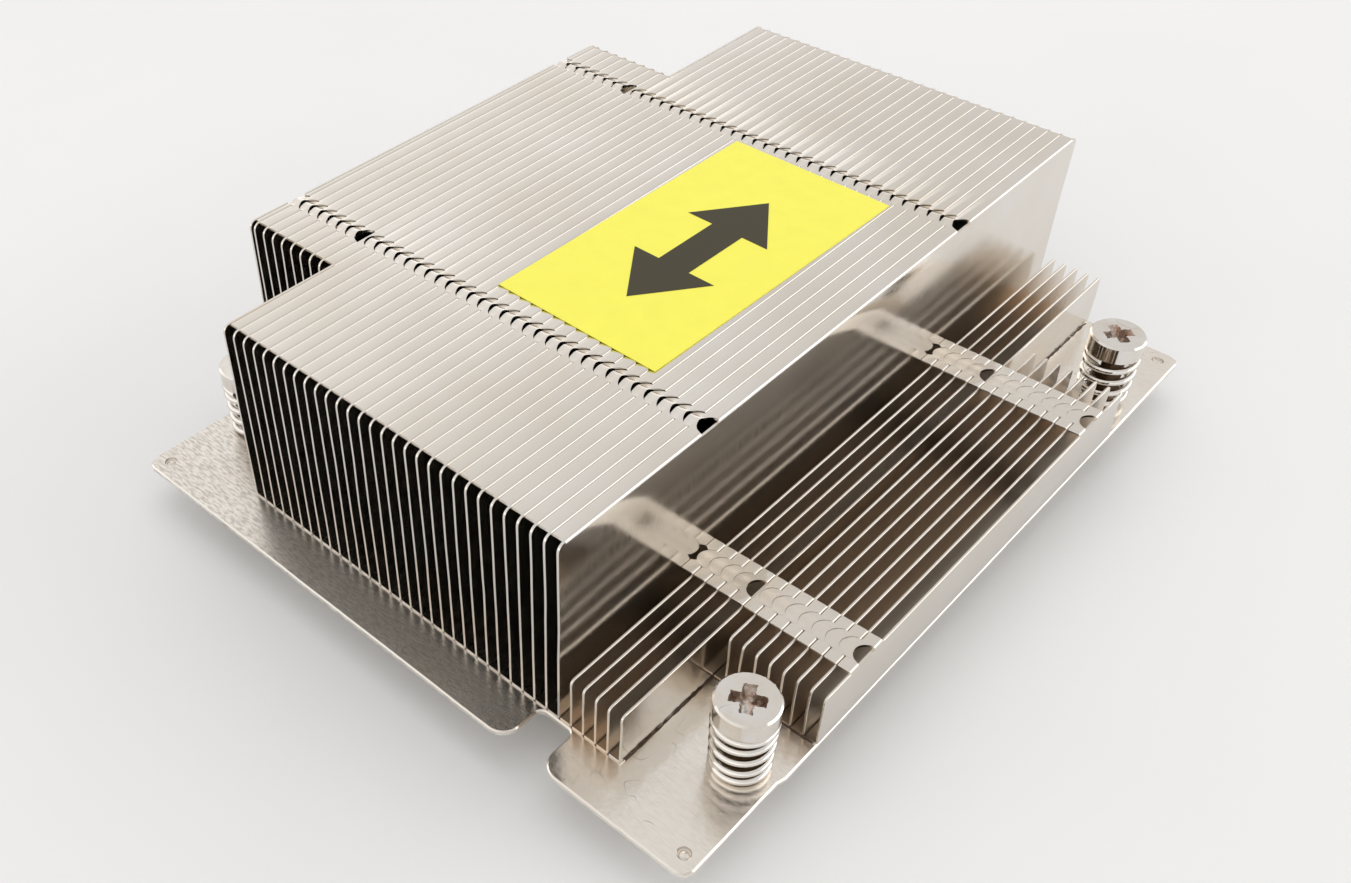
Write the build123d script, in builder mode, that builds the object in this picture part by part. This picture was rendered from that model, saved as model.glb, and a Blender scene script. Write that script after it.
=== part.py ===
from build123d import *
import os

# Passive heatsink for a rack server's processor: stamped zipper-lock fins soldered on a thin
# base plate, a contact block under it, and four captive spring screws on a square pattern.
# Millimetres. +X runs across the fins towards the low ones, +Y along the airflow, +Z up.
# The origin is the centre of the screw pattern on the face that touches the processor.

# Screw pattern, plate and contact block
screw_spacing_x = 80.0
screw_spacing_y = 80.0
plate_side_margin = 4.85
plate_end_margin = 14.7
plate_thickness = 0.8
plate_corner_chamfer = 1.4
plate_step_depth = 0.25
plate_step_length = 16.3
block_side_clearance = 8.0
block_end_inset = 9.7
block_thickness = 3.0
block_corner_radius = 3.0

# Notch in the front edge of the plate, which stops just short of the fins
notch_width = 4.8
notch_to_fins = 0.25
notch_inner_radius = 0.9
notch_outer_radius = 2.4

# Locating dimples in the plate's corners
dimple_radius = 0.75
dimple_depth = 0.45
dimple_inset = 2.3

# Fins: a tall pack in the middle, a short tall pack on the left, low ones on the right
sheet = 0.3
low_pitch = 1.71
main_fin_count = 30
fins_in_node = 2
left_fin_count = 8
long_low_count = 5
short_low_count = 8
tall_height = 26.5
low_height = 8.1
low_edge_drop = 0.4
front_shelf = 6.0
rear_shelf = 0.2
left_shelf = 0.32
screw_bay = 7.0
fold_setback = 1.0
tall_corner_radius = 1.0
low_corner_radius = 0.7
bend_radius = 0.4
seam_gap = 0.04
end_sheet_pitches = 0.5

# Zipper locks: a round window at each fin's bend, filled by the next fin's tongue
lock_inset = 7.7
low_lock_front_inset = 7.4
low_lock_rear_inset = 8.9
strip_width = 6.0
window_radius = 1.5
window_drop = 0.05
tongue_gap = 0.14
tongue_shift = 0.08
recess_depth = 1.0

# Captive screws
thread_radius = 2.0
shank_relief = 0.1
groove_depth = 0.45
hole_clearance = 0.3
head_radius = 3.55
head_height = 2.5
head_chamfer = 0.25
head_clearance = 7.9
tip_reach = 2.5
tip_chamfer = 0.4
cross_span = 3.8
cross_width = 1.05
cross_depth = 1.3
cross_taper = 12.0
cross_turns = [70.0, 28.5, 12.0, 51.0]

# Retaining ring in the screw's groove, under the plate
ring_play = 0.35
ring_band = 1.05
ring_thickness = 0.6
mouth_snap = 0.1
prong_count = 3
prong_width = 1.3
running_gap = 0.05

# Spring between the plate and the screw's head
spring_inset = 0.1
spring_wire = 1.0
spring_turns = 3.0
spring_end_gap = 0.02

# Airflow label on the tall fins, with a printed two-way arrow
label_width = 24.0
label_length = 45.2
label_thickness = 0.12
label_x = 1.0
label_y = 0.6
label_skew = -1.0
arrow_x = 0.6
arrow_y = -0.7
arrow_length = 27.2
arrow_head_length = 8.5
arrow_head_width = 12.2
arrow_shaft_width = 4.6
ink_thickness = 0.03

# Places worked out from the sizes above
screw_x = screw_spacing_x / 2
screw_y = screw_spacing_y / 2
plate_width = screw_spacing_x + 2 * plate_side_margin
plate_length = screw_spacing_y + 2 * plate_end_margin
plate_bottom = block_thickness
plate_top = plate_bottom + plate_thickness
half_sheet = sheet / 2
fin_front = front_shelf - plate_length / 2
fin_rear = plate_length / 2 - rear_shelf
short_front = screw_bay - screw_y
short_rear = screw_y - screw_bay
low_count = long_low_count + short_low_count
tall_pitches = main_fin_count + left_fin_count - 1 + end_sheet_pitches
fin_field = plate_width - left_shelf - sheet
tall_pitch = (fin_field - low_count * low_pitch) / tall_pitches
first_tall_x = plate_width / 2 - half_sheet - low_count * low_pitch
end_sheet_x = first_tall_x - tall_pitches * tall_pitch
tall_top = plate_top + tall_height
tall_reach = tall_pitch - seam_gap
low_top = plate_top + low_height
low_edge = low_top - low_edge_drop
low_reach = low_pitch - seam_gap
window_depth = sheet + window_drop
tall_rows = [short_front + lock_inset, short_rear - lock_inset]
low_rows = [short_front + low_lock_front_inset, short_rear - low_lock_rear_inset]
tongue_radius = window_radius - tongue_gap
head_bottom = plate_top + head_clearance
head_top = head_bottom + head_height
ring_bottom = plate_bottom - ring_thickness
groove_radius = thread_radius - groove_depth
ring_inner_radius = thread_radius + ring_play
ring_radius = ring_inner_radius + ring_band
prong_reach = groove_radius + running_gap
screw_places = [(x, y) for y in (-screw_y, screw_y) for x in (-screw_x, screw_x)]

os.makedirs("parts", exist_ok=True)


def save(piece, name):
    """Label a finished piece and write it under its own name."""
    piece.part.label = name
    export_step(piece.part, "parts/" + name + ".step")


def save_at(piece, name, x):
    """Write a copy of a fin, drawn at X = 0, standing at its own place along X."""
    with BuildPart() as copy:
        with Locations((x, 0, 0)):
            add(piece.part)
    save(copy, name)


def save_turned(piece, name, x, y, turn):
    """Write a copy of a piece, drawn on the Z axis, turned about it and moved to its screw."""
    with BuildPart() as copy:
        with Locations(Location((x, y, 0), (0, 0, turn))):
            add(piece.part)
    save(copy, name)


def flat_web(front, rear, top, corner_radius, left_out):
    """A fin's flat web with rounded upper corners, less the stretches that have folds."""
    with BuildSketch(Plane.YZ.offset(-half_sheet)) as outline:
        with Locations(((front + rear) / 2, (plate_top + top) / 2)):
            Rectangle(rear - front, top - plate_top)
        fillet(outline.vertices().group_by(Axis.Y)[-1], corner_radius)
        for start, end, low, high in left_out:
            with Locations(((start + end) / 2, (low + high) / 2)):
                Rectangle(end - start, high - low, mode=Mode.SUBTRACT)
    extrude(outline.sketch, amount=sheet)


def folded_stretch(front, rear, low, high, fold, reach):
    """A stretch of a fin's web between two heights, with a sheet folded from it towards -X."""
    with BuildSketch(Plane.XZ.offset(-front)) as section:
        with Locations((0, (low + high) / 2)):
            Rectangle(sheet, high - low)
        with Locations((half_sheet - reach / 2, fold)):
            Rectangle(reach, sheet)
        outer = section.vertices().group_by(Axis.X)[-1]
        fillet(outer.sort_by(lambda corner: abs(corner.Y - fold))[0], bend_radius)
    extrude(section.sketch, amount=front - rear)


def tall_sheet(front, rear, foot_front, foot_rear, reach):
    """A tall fin, folded along its foot, and along its top to a little short of the foot's ends."""
    middle = (plate_top + tall_top) / 2
    folded_front = foot_front + fold_setback
    folded_rear = foot_rear - fold_setback
    flat_web(front, rear, tall_top, tall_corner_radius, [
        (foot_front, foot_rear, plate_top, middle), (folded_front, folded_rear, middle, tall_top)])
    folded_stretch(foot_front, foot_rear, plate_top, middle, plate_top + half_sheet, reach)
    folded_stretch(folded_front, folded_rear, middle, tall_top, tall_top - half_sheet, reach)


def low_sheet(front, rear):
    """A low fin: folded along its whole foot, but along its top only in the two lock strips."""
    middle = (plate_top + low_edge) / 2
    flat_web(front, rear, low_edge, low_corner_radius, [(front, rear, plate_top, middle)])
    folded_stretch(front, rear, plate_top, middle, plate_top + half_sheet, low_reach)
    for row in low_rows:
        folded_stretch(
            row - strip_width / 2, row + strip_width / 2,
            low_edge - sheet, low_top, low_top - half_sheet, low_reach)


def add_tongues(rows, top, pitch):
    """Round tongues that reach past the fold's edge, over the neighbour's bend."""
    with BuildSketch(Plane.XY.offset(top - sheet)) as rounds:
        with Locations([(half_sheet - pitch + tongue_shift, row - tongue_shift) for row in rows]):
            Circle(tongue_radius)
    extrude(rounds.sketch, amount=sheet)


def cut_rounds(rows, top, centre_x, depth):
    """Round cuts of the window's size into a fin's upper fold."""
    with BuildSketch(Plane.XY.offset(top)) as rounds:
        with Locations([(centre_x, row) for row in rows]):
            Circle(window_radius)
    extrude(rounds.sketch, amount=-depth, mode=Mode.SUBTRACT)


# Base plate: a thin sheet with a notch at the front, four screw holes and four dimples
notch_depth = front_shelf - notch_to_fins
notch_x = first_tall_x
with BuildPart() as base_plate:
    with BuildSketch(Plane.XY.offset(plate_bottom)) as plate_face:
        blank = Rectangle(plate_width, plate_length)
        chamfer(blank.vertices(), plate_corner_chamfer)
        with Locations((notch_x, (notch_depth - plate_length) / 2)):
            Rectangle(notch_width, notch_depth, mode=Mode.SUBTRACT)
        for end, radius in ((0, notch_outer_radius), (-1, notch_inner_radius)):
            corners = plate_face.vertices().filter_by_position(
                Axis.X, notch_x - notch_width, notch_x + notch_width)
            fillet(corners.group_by(Axis.Y)[end], radius)
        with Locations((plate_width / 2, (plate_step_length - plate_length) / 2)):
            Rectangle(2 * plate_step_depth, plate_step_length, mode=Mode.SUBTRACT)
        with GridLocations(screw_spacing_x, screw_spacing_y, 2, 2):
            Circle(thread_radius + hole_clearance, mode=Mode.SUBTRACT)
    extrude(amount=plate_thickness)
    with BuildSketch(Plane.XY.offset(plate_top)):
        with GridLocations(plate_width - 2 * dimple_inset, plate_length - 2 * dimple_inset, 2, 2):
            Circle(dimple_radius)
    extrude(amount=-dimple_depth, mode=Mode.SUBTRACT)
save(base_plate, "base_plate")

# Contact block brazed under the plate
block_width = screw_spacing_x - 2 * block_side_clearance
block_length = plate_length - 2 * block_end_inset
with BuildPart() as contact_block:
    with BuildSketch():
        RectangleRounded(block_width, block_length, block_corner_radius)
    extrude(amount=block_thickness)
save(contact_block, "contact_block")

# Tall fin of the main pack
with BuildPart() as main_fin:
    tall_sheet(fin_front, fin_rear, fin_front, fin_rear, tall_reach)
    add_tongues(tall_rows, tall_top, tall_pitch)
    cut_rounds(tall_rows, tall_top, half_sheet, window_depth)

# Last fin of the main pack, folded only where the left pack stands against it
with BuildPart() as last_main_fin:
    tall_sheet(fin_front, fin_rear, short_front, short_rear, tall_reach)
    cut_rounds(tall_rows, tall_top, half_sheet, window_depth)

# The main pack, two fins to a node
for start in range(0, main_fin_count, fins_in_node):
    with BuildPart() as fin_group:
        for number in range(start, min(start + fins_in_node, main_fin_count)):
            fin = last_main_fin if number == main_fin_count - 1 else main_fin
            with Locations((first_tall_x - number * tall_pitch, 0, 0)):
                add(fin.part)
    save(fin_group, f"main_fins_{start // fins_in_node + 1:02d}")

# Tall fin of the left pack, between the screws
with BuildPart() as left_fin:
    tall_sheet(short_front, short_rear, short_front, short_rear, tall_reach)
    add_tongues(tall_rows, tall_top, tall_pitch)
    cut_rounds(tall_rows, tall_top, half_sheet, window_depth)

# Last fin of the left pack, its folds cut short by the end sheet
with BuildPart() as last_left_fin:
    tall_sheet(
        short_front, short_rear, short_front, short_rear, end_sheet_pitches * tall_pitch - seam_gap)
    cut_rounds(tall_rows, tall_top, half_sheet, window_depth)

for number in range(left_fin_count):
    fin = last_left_fin if number == left_fin_count - 1 else left_fin
    fin_x = first_tall_x - (main_fin_count + number) * tall_pitch
    save_at(fin, f"left_fin_{number + 1}", fin_x)

# Flat sheet that closes the left pack, slotted for the last tongue
with BuildPart() as left_end_sheet:
    with BuildSketch(Plane.YZ.offset(-half_sheet)) as outline:
        with Locations(((short_front + short_rear) / 2, (plate_top + tall_top) / 2)):
            Rectangle(short_rear - short_front, tall_height)
        fillet(outline.vertices().group_by(Axis.Y)[-1], tall_corner_radius)
        with Locations([(row, tall_top) for row in tall_rows]):
            Rectangle(2 * window_radius, 2 * window_depth, mode=Mode.SUBTRACT)
    extrude(amount=sheet)
save_at(left_end_sheet, "left_end_sheet", end_sheet_x)

# First low fin: where it butts on the tall pack its fold has a round recess and no tongue
fold_edge = half_sheet - low_reach
with BuildPart() as first_low_fin:
    low_sheet(fin_front, fin_rear)
    cut_rounds(low_rows, low_top, fold_edge + recess_depth - window_radius, sheet)
    cut_rounds(low_rows, low_top, half_sheet, window_depth)

# Long low fin
with BuildPart() as long_low_fin:
    low_sheet(fin_front, fin_rear)
    add_tongues(low_rows, low_top, low_pitch)
    cut_rounds(low_rows, low_top, half_sheet, window_depth)

# First of the short low fins, which has no tongue, and the others
with BuildPart() as first_short_low_fin:
    low_sheet(short_front, short_rear)
    cut_rounds(low_rows, low_top, half_sheet, window_depth)

with BuildPart() as short_low_fin:
    low_sheet(short_front, short_rear)
    add_tongues(low_rows, low_top, low_pitch)
    cut_rounds(low_rows, low_top, half_sheet, window_depth)

for number in range(low_count):
    fin_x = first_tall_x + (number + 1) * low_pitch
    if number < long_low_count:
        fin = first_low_fin if number == 0 else long_low_fin
        save_at(fin, f"low_long_fin_{number + 1}", fin_x)
    else:
        short_number = number - long_low_count
        fin = first_short_low_fin if short_number == 0 else short_low_fin
        save_at(fin, f"low_short_fin_{short_number + 1}", fin_x)

# Captive screw, drawn on the Z axis: head, shank, groove for the ring, thread and cross recess
shank_radius = thread_radius - shank_relief
tip_bottom = -tip_reach
groove_bottom = ring_bottom - running_gap
groove_top = plate_bottom + running_gap
with BuildPart() as screw:
    with BuildSketch(Plane.XZ):
        with BuildLine():
            Polyline(
                (0, tip_bottom),
                (thread_radius - tip_chamfer, tip_bottom),
                (thread_radius, tip_bottom + tip_chamfer),
                (thread_radius, groove_bottom),
                (groove_radius, groove_bottom),
                (groove_radius, groove_top),
                (shank_radius, groove_top),
                (shank_radius, head_bottom),
                (head_radius, head_bottom),
                (head_radius, head_top - head_chamfer),
                (head_radius - head_chamfer, head_top),
                (0, head_top),
                close=True)
        make_face()
    revolve(axis=Axis.Z)
    with BuildSketch(Plane.XY.offset(head_top)):
        Rectangle(cross_span, cross_width)
        Rectangle(cross_width, cross_span)
    extrude(amount=-cross_depth, taper=cross_taper, mode=Mode.SUBTRACT)

# Retaining ring, drawn on the Z axis: an open band with prongs that reach into the groove
band_middle = ring_inner_radius + ring_band / 2
with BuildPart() as retaining_ring:
    with BuildSketch(Plane.XY.offset(ring_bottom)):
        Circle(ring_radius)
        Circle(ring_inner_radius, mode=Mode.SUBTRACT)
        with PolarLocations((prong_reach + band_middle) / 2, prong_count, 90, 180, endpoint=True):
            Rectangle(band_middle - prong_reach, prong_width)
        Circle(prong_reach, mode=Mode.SUBTRACT)
        with Locations((ring_radius / 2, 0)):
            Rectangle(ring_radius, 2 * groove_radius - mouth_snap, mode=Mode.SUBTRACT)
    extrude(amount=ring_thickness)

# Compression spring, drawn on the Z axis
coil_radius = head_radius - spring_inset - spring_wire / 2
coil_bottom = plate_top + spring_end_gap + spring_wire / 2
coil_rise = head_clearance - 2 * spring_end_gap - spring_wire
with BuildPart() as spring:
    with BuildLine():
        coil = Helix(coil_rise / spring_turns, coil_rise, coil_radius, center=(0, 0, coil_bottom))
    with BuildSketch(Plane(coil @ 0, z_dir=coil % 0)):
        Circle(spring_wire / 2)
    sweep()

for number in range(len(screw_places)):
    x, y = screw_places[number]
    turn = cross_turns[number]
    save_turned(screw, f"screw_{number + 1}", x, y, turn)
    save_turned(retaining_ring, f"retaining_ring_{number + 1}", x, y, turn)
    save_turned(spring, f"spring_{number + 1}", x, y, turn)

# Airflow label on the tall fins
label_face = Plane(origin=(label_x, label_y, tall_top)).rotated((0, 0, label_skew))
with BuildPart() as airflow_label:
    with BuildSketch(label_face):
        Rectangle(label_width, label_length)
    extrude(amount=label_thickness)
save(airflow_label, "airflow_label")

# Printed two-way arrow on the label
head_root = arrow_length / 2 - arrow_head_length
with BuildPart() as airflow_arrow:
    with BuildSketch(label_face.offset(label_thickness)):
        with Locations((arrow_x, arrow_y)):
            Rectangle(arrow_shaft_width, 2 * head_root)
            for turn in (0, 180):
                with Locations(Location((0, 0, 0), (0, 0, turn))):
                    Polygon(
                        (-arrow_head_width / 2, head_root),
                        (arrow_head_width / 2, head_root),
                        (0, arrow_length / 2),
                        align=None)
    extrude(amount=ink_thickness)
save(airflow_arrow, "airflow_arrow")
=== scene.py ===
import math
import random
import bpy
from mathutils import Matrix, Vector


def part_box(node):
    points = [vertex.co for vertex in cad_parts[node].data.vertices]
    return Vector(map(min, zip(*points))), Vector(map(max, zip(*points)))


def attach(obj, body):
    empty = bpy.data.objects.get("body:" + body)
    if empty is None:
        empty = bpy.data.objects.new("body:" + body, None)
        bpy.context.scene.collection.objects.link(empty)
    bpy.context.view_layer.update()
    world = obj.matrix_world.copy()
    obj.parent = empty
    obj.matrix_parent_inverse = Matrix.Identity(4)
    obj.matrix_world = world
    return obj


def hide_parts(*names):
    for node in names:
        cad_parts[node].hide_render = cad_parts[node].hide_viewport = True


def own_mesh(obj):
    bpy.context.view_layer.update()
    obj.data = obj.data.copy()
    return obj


bl_info = {
    "name": "Server Heatsink",
    "version": (1, 0, 0),
    "blender": (4, 5, 0),
    "location": "View3D > Sidebar > Heatsink",
    "description": "Builds a zipper-fin server heatsink with captive spring screws around its CAD frame",
    "category": "Object",
}

import bmesh
import bpy
from mathutils import Matrix, Vector

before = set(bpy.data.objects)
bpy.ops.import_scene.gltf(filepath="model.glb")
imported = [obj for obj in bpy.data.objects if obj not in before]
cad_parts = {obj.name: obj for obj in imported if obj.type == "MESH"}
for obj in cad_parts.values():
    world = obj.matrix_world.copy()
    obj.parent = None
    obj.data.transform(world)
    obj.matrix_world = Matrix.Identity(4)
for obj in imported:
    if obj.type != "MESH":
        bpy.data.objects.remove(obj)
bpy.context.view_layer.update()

MM = 0.001
TINY = 0.002 * MM
QUARTER_TURN = math.radians(90)

PLATE_LOW, PLATE_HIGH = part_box("base_plate")
BLOCK_LOW, BLOCK_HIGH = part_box("contact_block")
MAIN_LOW, MAIN_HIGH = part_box("main_fins_01")
END_LOW, END_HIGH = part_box("left_end_sheet")
LOW_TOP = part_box("low_long_fin_2")[1].z
SHORT_LOW, SHORT_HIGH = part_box("low_short_fin_2")
RING_LOW, RING_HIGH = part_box("retaining_ring_1")
SCREW_LOW, SCREW_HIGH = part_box("screw_2")

MAIN_FIN_COUNT = 30
FINS_IN_NODE = 2
LEFT_FIN_COUNT = 8
LONG_LOW_COUNT = 5
SHORT_LOW_COUNT = 8
SCREW_COUNT = 4

HALF_SHEET = 0.15 * MM
FIRST_TALL_X = MAIN_HIGH.x - HALF_SHEET
END_SHEET_X = (END_LOW.x + END_HIGH.x) / 2
TALL_PITCH = (FIRST_TALL_X - END_SHEET_X) / (MAIN_FIN_COUNT + LEFT_FIN_COUNT - 0.5)


def length(name, description, default):
    """A size in metres, as a property that a user can change."""
    return bpy.props.FloatProperty(
        name=name, description=description, default=default, min=0.0,
        unit="LENGTH", subtype="DISTANCE", precision=5)


def colour(name, description, default):
    """A colour as a property that a user can change."""
    return bpy.props.FloatVectorProperty(
        name=name, description=description, default=default, min=0.0, max=1.0,
        size=3, subtype="COLOR")


class HeatsinkFinSizes(bpy.types.PropertyGroup):
    """Sizes of the stamped fins and of the locks that hold them together."""

    sheet: length("Sheet", "Thickness of the fins' sheet", 0.3 * MM)
    bend: length("Bend radius", "Outer radius of the folds", 0.4 * MM)
    tall_pitch: length("Tall pitch", "Distance between two tall fins", TALL_PITCH)
    low_pitch: length("Low pitch", "Distance between two low fins", 1.71 * MM)
    seam: length("Seam", "Gap between a fold's edge and the next fin", 0.04 * MM)
    sag: length("Sag", "How far the edge of an upper fold hangs under its bend", 0.06 * MM)
    setback: length("Setback", "How far the upper folds stop short of a fin's foot", 1.0 * MM)
    tall_corner: length("Tall corner", "Radius of the tall fins' upper corners", 1.0 * MM)
    low_corner: length("Low corner", "Radius of the low fins' upper corners", 0.7 * MM)
    strip: length("Strip width", "Length of the low fins' upper folds", 6.0 * MM)
    edge_drop: length("Edge drop", "How far the low fins' plain edge lies under the strips", 0.4 * MM)
    window: length("Window radius", "Radius of the round windows in the folds", 1.5 * MM)
    window_depth: length("Window depth", "How deep the windows cut into a bend", 0.45 * MM)
    tongue_play: length("Tongue play", "Gap between a tongue's rounded side and its window", 0.1 * MM)
    tip_gap: length("Tip gap", "Gap between a tongue's blunt tip and its window", 0.4 * MM)
    burr: length("Burr", "Width of the softened edge of a stamped sheet", 0.05 * MM)
    bow: length("Bow", "How far a web is out of true at most", 0.1 * MM)


class HeatsinkScrewSizes(bpy.types.PropertyGroup):
    """Sizes of the captive screws and their springs."""

    thread: length("Thread radius", "Outer radius of the screw's thread", 2.0 * MM)
    thread_pitch: length("Thread pitch", "Rise of the thread in one turn", 0.7 * MM)
    thread_depth: length("Thread depth", "Depth of the thread's groove", 0.35 * MM)
    groove: length("Groove radius", "Radius of the screw in the ring's groove", 1.55 * MM)
    shank: length("Shank radius", "Radius of the screw inside the spring", 1.9 * MM)
    head: length("Head radius", "Radius of the screw's head", 3.55 * MM)
    head_height: length("Head height", "Height of the screw's head", 2.5 * MM)
    cross: length("Cross span", "Span of the cross recess", 4.1 * MM)
    cross_width: length("Cross width", "Width of one arm of the cross recess", 1.5 * MM)
    cross_depth: length("Cross depth", "Depth of the cross recess", 1.3 * MM)
    rim: length("Rim", "Radius of the worn rim around the cross recess", 2.35 * MM)
    wire: length("Wire", "Diameter of the spring's wire", 0.9 * MM)
    coil: length("Coil radius", "Outer radius of the spring's upper end", 3.7 * MM)
    coil_foot: length("Coil foot radius", "Outer radius of the spring's lower end", 3.45 * MM)


class HeatsinkFinish(bpy.types.PropertyGroup):
    """Colours of the plated metal, the label and the floor."""

    nickel: colour("Nickel", "Clean nickel plate", (0.78, 0.74, 0.69))
    tarnish: colour("Tarnish", "Nickel plate with a breath of tarnish", (0.73, 0.67, 0.59))
    bare: colour("Bare", "Thicker, brighter plate on the base plate", (0.88, 0.84, 0.78))
    cloud: colour("Cloud", "Deeper clouds of tarnish on the base plate", (0.86, 0.79, 0.71))
    painted_gap_brown: colour("Painted gap brown", "Brown painted on the low fins as reflection between them", (0.80, 0.66, 0.52))
    flux: colour("Flux", "Burnt flux beside the soldered feet", (0.09, 0.055, 0.03))
    steel: colour("Steel", "Plated steel of the screws and springs", (0.79, 0.76, 0.72))
    worn: colour("Worn steel", "Bare steel inside the worn recesses", (0.60, 0.42, 0.32))
    label: colour("Label", "Yellow film of the airflow label", (0.91, 0.86, 0.097))
    ink: colour("Ink", "Dark print on the label", (0.035, 0.027, 0.006))
    floor: colour("Floor", "Pale floor under the heatsink", (0.84, 0.84, 0.84))


def ready():
    """Leave edit mode and deselect everything, so that the next operator acts on its own piece."""
    if bpy.context.object and bpy.context.object.mode != "OBJECT":
        bpy.ops.object.mode_set(mode="OBJECT")
    bpy.ops.object.select_all(action="DESELECT")


def focus(piece):
    """Make one piece the only selected and the active one."""
    ready()
    piece.select_set(True)
    bpy.context.view_layer.objects.active = piece


def edit(piece):
    """Open a piece in edit mode with all of it selected."""
    focus(piece)
    bpy.ops.object.mode_set(mode="EDIT")
    select_whole()


def named(name):
    """Name the piece that an operator has just added, and settle its place into its mesh."""
    piece = bpy.context.object
    piece.name = name
    piece.data.name = name
    bpy.ops.object.transform_apply(location=True, rotation=True, scale=True)
    return piece


def choose(piece, part, wanted):
    """In edit mode, select the corners, edges or faces that pass the test."""
    bpy.ops.mesh.select_mode(type=part)
    bpy.ops.mesh.select_all(action="DESELECT")
    mesh = bmesh.from_edit_mesh(piece.data)
    for item in {"VERT": mesh.verts, "EDGE": mesh.edges, "FACE": mesh.faces}[part]:
        if wanted(item):
            item.select_set(True)
    mesh.select_flush_mode()
    bmesh.update_edit_mesh(piece.data)


def pick(piece, wanted, part="EDGE"):
    """In edit mode, select the parts whose corners all lie where the test wants them."""
    choose(piece, part, lambda item: all(
        wanted(corner.co) for corner in ([item] if part == "VERT" else item.verts)))


def select_whole():
    """In edit mode, select the whole mesh."""
    bpy.ops.mesh.select_all(action="SELECT")


def near(a, b):
    """Whether two lengths are the same."""
    return abs(a - b) < TINY


def cut_at(axis, place, side=1.0, drop=False):
    """In edit mode, cut the whole mesh at a plane, and drop what lies beyond it if asked."""
    normal = [side * (name == axis) for name in "XYZ"]
    select_whole()
    bpy.ops.mesh.bisect(
        plane_co=[place * abs(part) for part in normal], plane_no=normal, clear_outer=drop)


def slice_at(axis, places):
    """In edit mode, cut the whole mesh along planes square to an axis."""
    for place in places:
        cut_at(axis, place)


def spread(start, end, count):
    """Evenly spaced places strictly between two ends."""
    return [start + (end - start) * step / (count + 1) for step in range(1, count + 1)]


def draw_out(x=0.0, y=0.0, z=0.0):
    """Extrude what is selected by a step."""
    bpy.ops.mesh.extrude_region_move(TRANSFORM_OT_translate={"value": (x, y, z)})


def apply_modifier(piece, kind, **settings):
    """Add one modifier to a piece, set it and apply it."""
    focus(piece)
    modifier = piece.modifiers.new(kind.lower(), kind)
    for name, value in settings.items():
        setattr(modifier, name, value)
    bpy.ops.object.modifier_apply(modifier=modifier.name)


def combine(piece, tool, operation):
    """Cut a tool out of a piece, or unite the two, and delete the tool."""
    before = len(piece.data.polygons)
    apply_modifier(piece, "BOOLEAN", operation=operation, object=tool, solver="EXACT")
    if len(piece.data.polygons) < before / 2:
        raise RuntimeError(f"{piece.name} was lost when {tool.name} met it")
    remove(tool)


def soften(piece, width, segments=1, angle=40, clamp=True):
    """Bevel the sharp edges of a piece."""
    apply_modifier(
        piece, "BEVEL", width=width, segments=segments, limit_method="ANGLE",
        angle_limit=math.radians(angle), use_clamp_overlap=clamp)


def smooth(piece, angle=32):
    """Smooth the shading over edges under an angle."""
    focus(piece)
    bpy.ops.object.shade_smooth_by_angle(angle=math.radians(angle))


def clean(piece):
    """Merge doubled corners and turn the faces outwards."""
    edit(piece)
    bpy.ops.mesh.remove_doubles(threshold=TINY)
    bpy.ops.mesh.normals_make_consistent(inside=False)
    ready()


def finish_piece(piece, material, body, slot, *nodes):
    """Give a finished piece its material, its body and the CAD nodes that it stands for. The slot is not
    used.
    """
    piece.data.materials.clear()
    piece.data.materials.append(material)
    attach(piece, body)
    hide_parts(*nodes)


def finish_fin(piece, material, node):
    """Give a finished fin its material, its body and its CAD node."""
    finish_piece(piece, material, "heatsink", "nickel_plated_fin", node)


def remove(*pieces):
    """Delete helper pieces that have served."""
    for piece in pieces:
        bpy.data.objects.remove(piece)


def box_piece(name, centre, sides):
    """A box about a centre."""
    ready()
    bpy.ops.mesh.primitive_cube_add(size=1, location=centre)
    bpy.context.object.scale = sides
    return named(name)


def flat_piece(name, centre, sides, rotation=(0, 0, 0)):
    """A flat oblong about a centre."""
    ready()
    bpy.ops.mesh.primitive_plane_add(size=1, location=centre, rotation=rotation)
    bpy.context.object.scale = (*sides, 1)
    return named(name)


def copy_at(source, name, offset):
    """A copy of a modelled piece with its own mesh, moved into place."""
    piece = source.copy()
    piece.data = source.data.copy()
    piece.name = name
    piece.data.name = name
    bpy.context.scene.collection.objects.link(piece)
    piece.data.transform(Matrix.Translation(offset))
    return piece


def join(pieces, name):
    """Join several meshes into one piece."""
    focus(pieces[0])
    for piece in pieces[1:]:
        piece.select_set(True)
    bpy.ops.object.join()
    pieces[0].name = name
    pieces[0].data.name = name
    return pieces[0]


BEND_STEPS = 4
WEB_ROW = 2.6 * MM
WEB_COLUMNS = 5
END_RUNS = (1.0 * MM, 3.0 * MM, 7.0 * MM)
COLUMN_ROOM = 0.5 * MM


def fold_out(sizes, height, turn, reach, sag=0.0):
    """Bend the selected edges through a quarter turn towards -X and draw the flange out."""
    inner = sizes.bend - sizes.sheet / 2
    bpy.ops.mesh.spin(
        steps=BEND_STEPS, angle=QUARTER_TURN, center=(-inner, 0, height), axis=(0, turn, 0))
    draw_out(x=-(reach - sizes.bend), z=-sag)


def plain_stretches(ends, strips):
    """The stretches between two ends that lie outside the strips."""
    starts = [ends[0]] + [strip[1] for strip in strips]
    stops = [strip[0] for strip in strips] + [ends[1]]
    return [(start, stop) for start, stop in zip(starts, stops) if stop - start > TINY]


def pick_run(piece, height, run):
    """In edit mode, select the flat web's edges at a height between two places along Y."""
    start, stop = run
    pick(piece, lambda place: near(place.z, height) and near(place.x, 0)
         and start - TINY < place.y < stop + TINY)


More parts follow.
